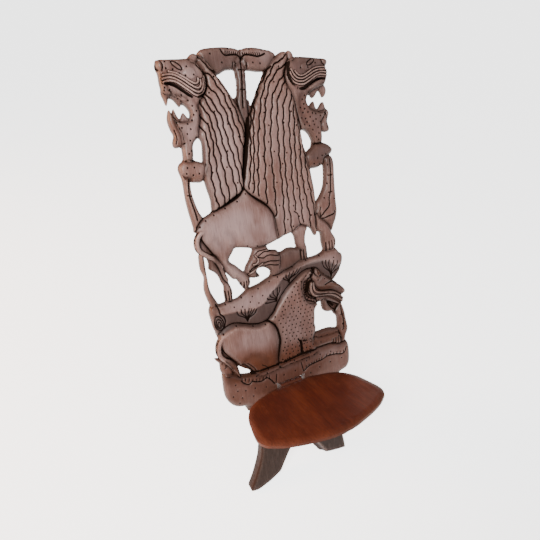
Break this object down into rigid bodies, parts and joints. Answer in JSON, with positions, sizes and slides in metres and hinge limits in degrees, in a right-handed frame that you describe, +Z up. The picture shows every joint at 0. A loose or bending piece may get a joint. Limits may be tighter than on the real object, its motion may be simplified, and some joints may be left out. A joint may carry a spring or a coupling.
{
  "type": "chief chair",
  "caption": "Two-plank chief chair: a leaning back plank with lions carved in pierced relief, and an oval seat plank whose tail passes through its slot to the floor.",
  "frame": {"origin": "on the floor, at the middle of the whole box's underside", "axes": "+Z up, +Y towards the back, where the seat's tail meets the floor, +X to the sitter's left, which is the right hand of someone facing the carving"},
  "size_m": [0.448, 0.8044, 1.0928],
  "materials": {
    "carved_wood": "dull waxed hardwood, dark in the cuts, paler and rubbed on the high places",
    "seat_wood": "satin red-brown oiled hardwood with a rubbed, paler rim"
  },
  "bodies": {
    "root": {"back_board": "carved_wood", "seat_board": "seat_wood"}
  },
  "joints": []
}
